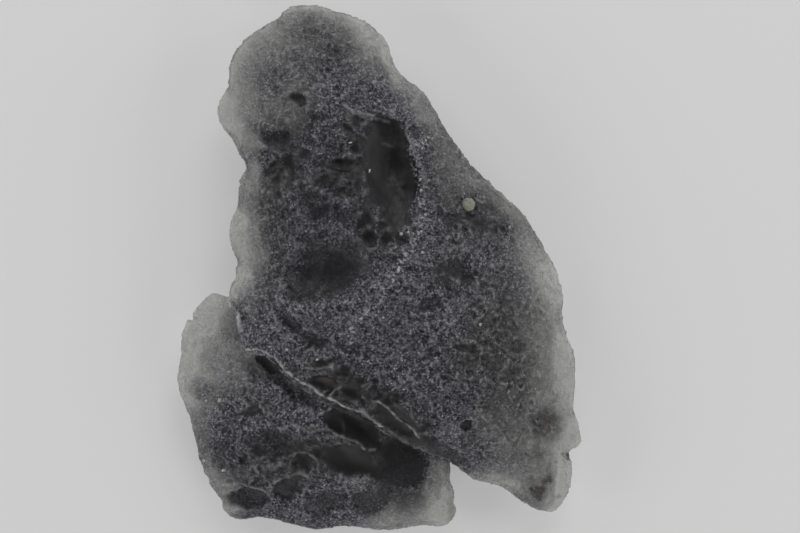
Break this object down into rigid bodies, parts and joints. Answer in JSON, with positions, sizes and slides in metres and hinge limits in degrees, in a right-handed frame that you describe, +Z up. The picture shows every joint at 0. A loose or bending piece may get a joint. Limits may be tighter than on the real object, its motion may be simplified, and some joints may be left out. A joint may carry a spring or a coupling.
{
  "type": "raw obsidian",
  "caption": "Thin natural flake of raw obsidian: a frosted, pitted dark face with see-through smoky edges, and a lower lobe stepping down behind a raised ledge.",
  "frame": {"origin": "under the middle of the stone, on the surface it rests on", "axes": "+Z up out of the stone's face, +Y along the stone to its narrow head, +X to its right"},
  "size_m": [0.0404, 0.0526, 0.0108],
  "materials": {
    "obsidian": "finely frosted and pitted dark volcanic glass, smoky grey and see-through at its thin edges"
  },
  "bodies": {
    "root": {"raw_obsidian": "obsidian"}
  },
  "joints": []
}
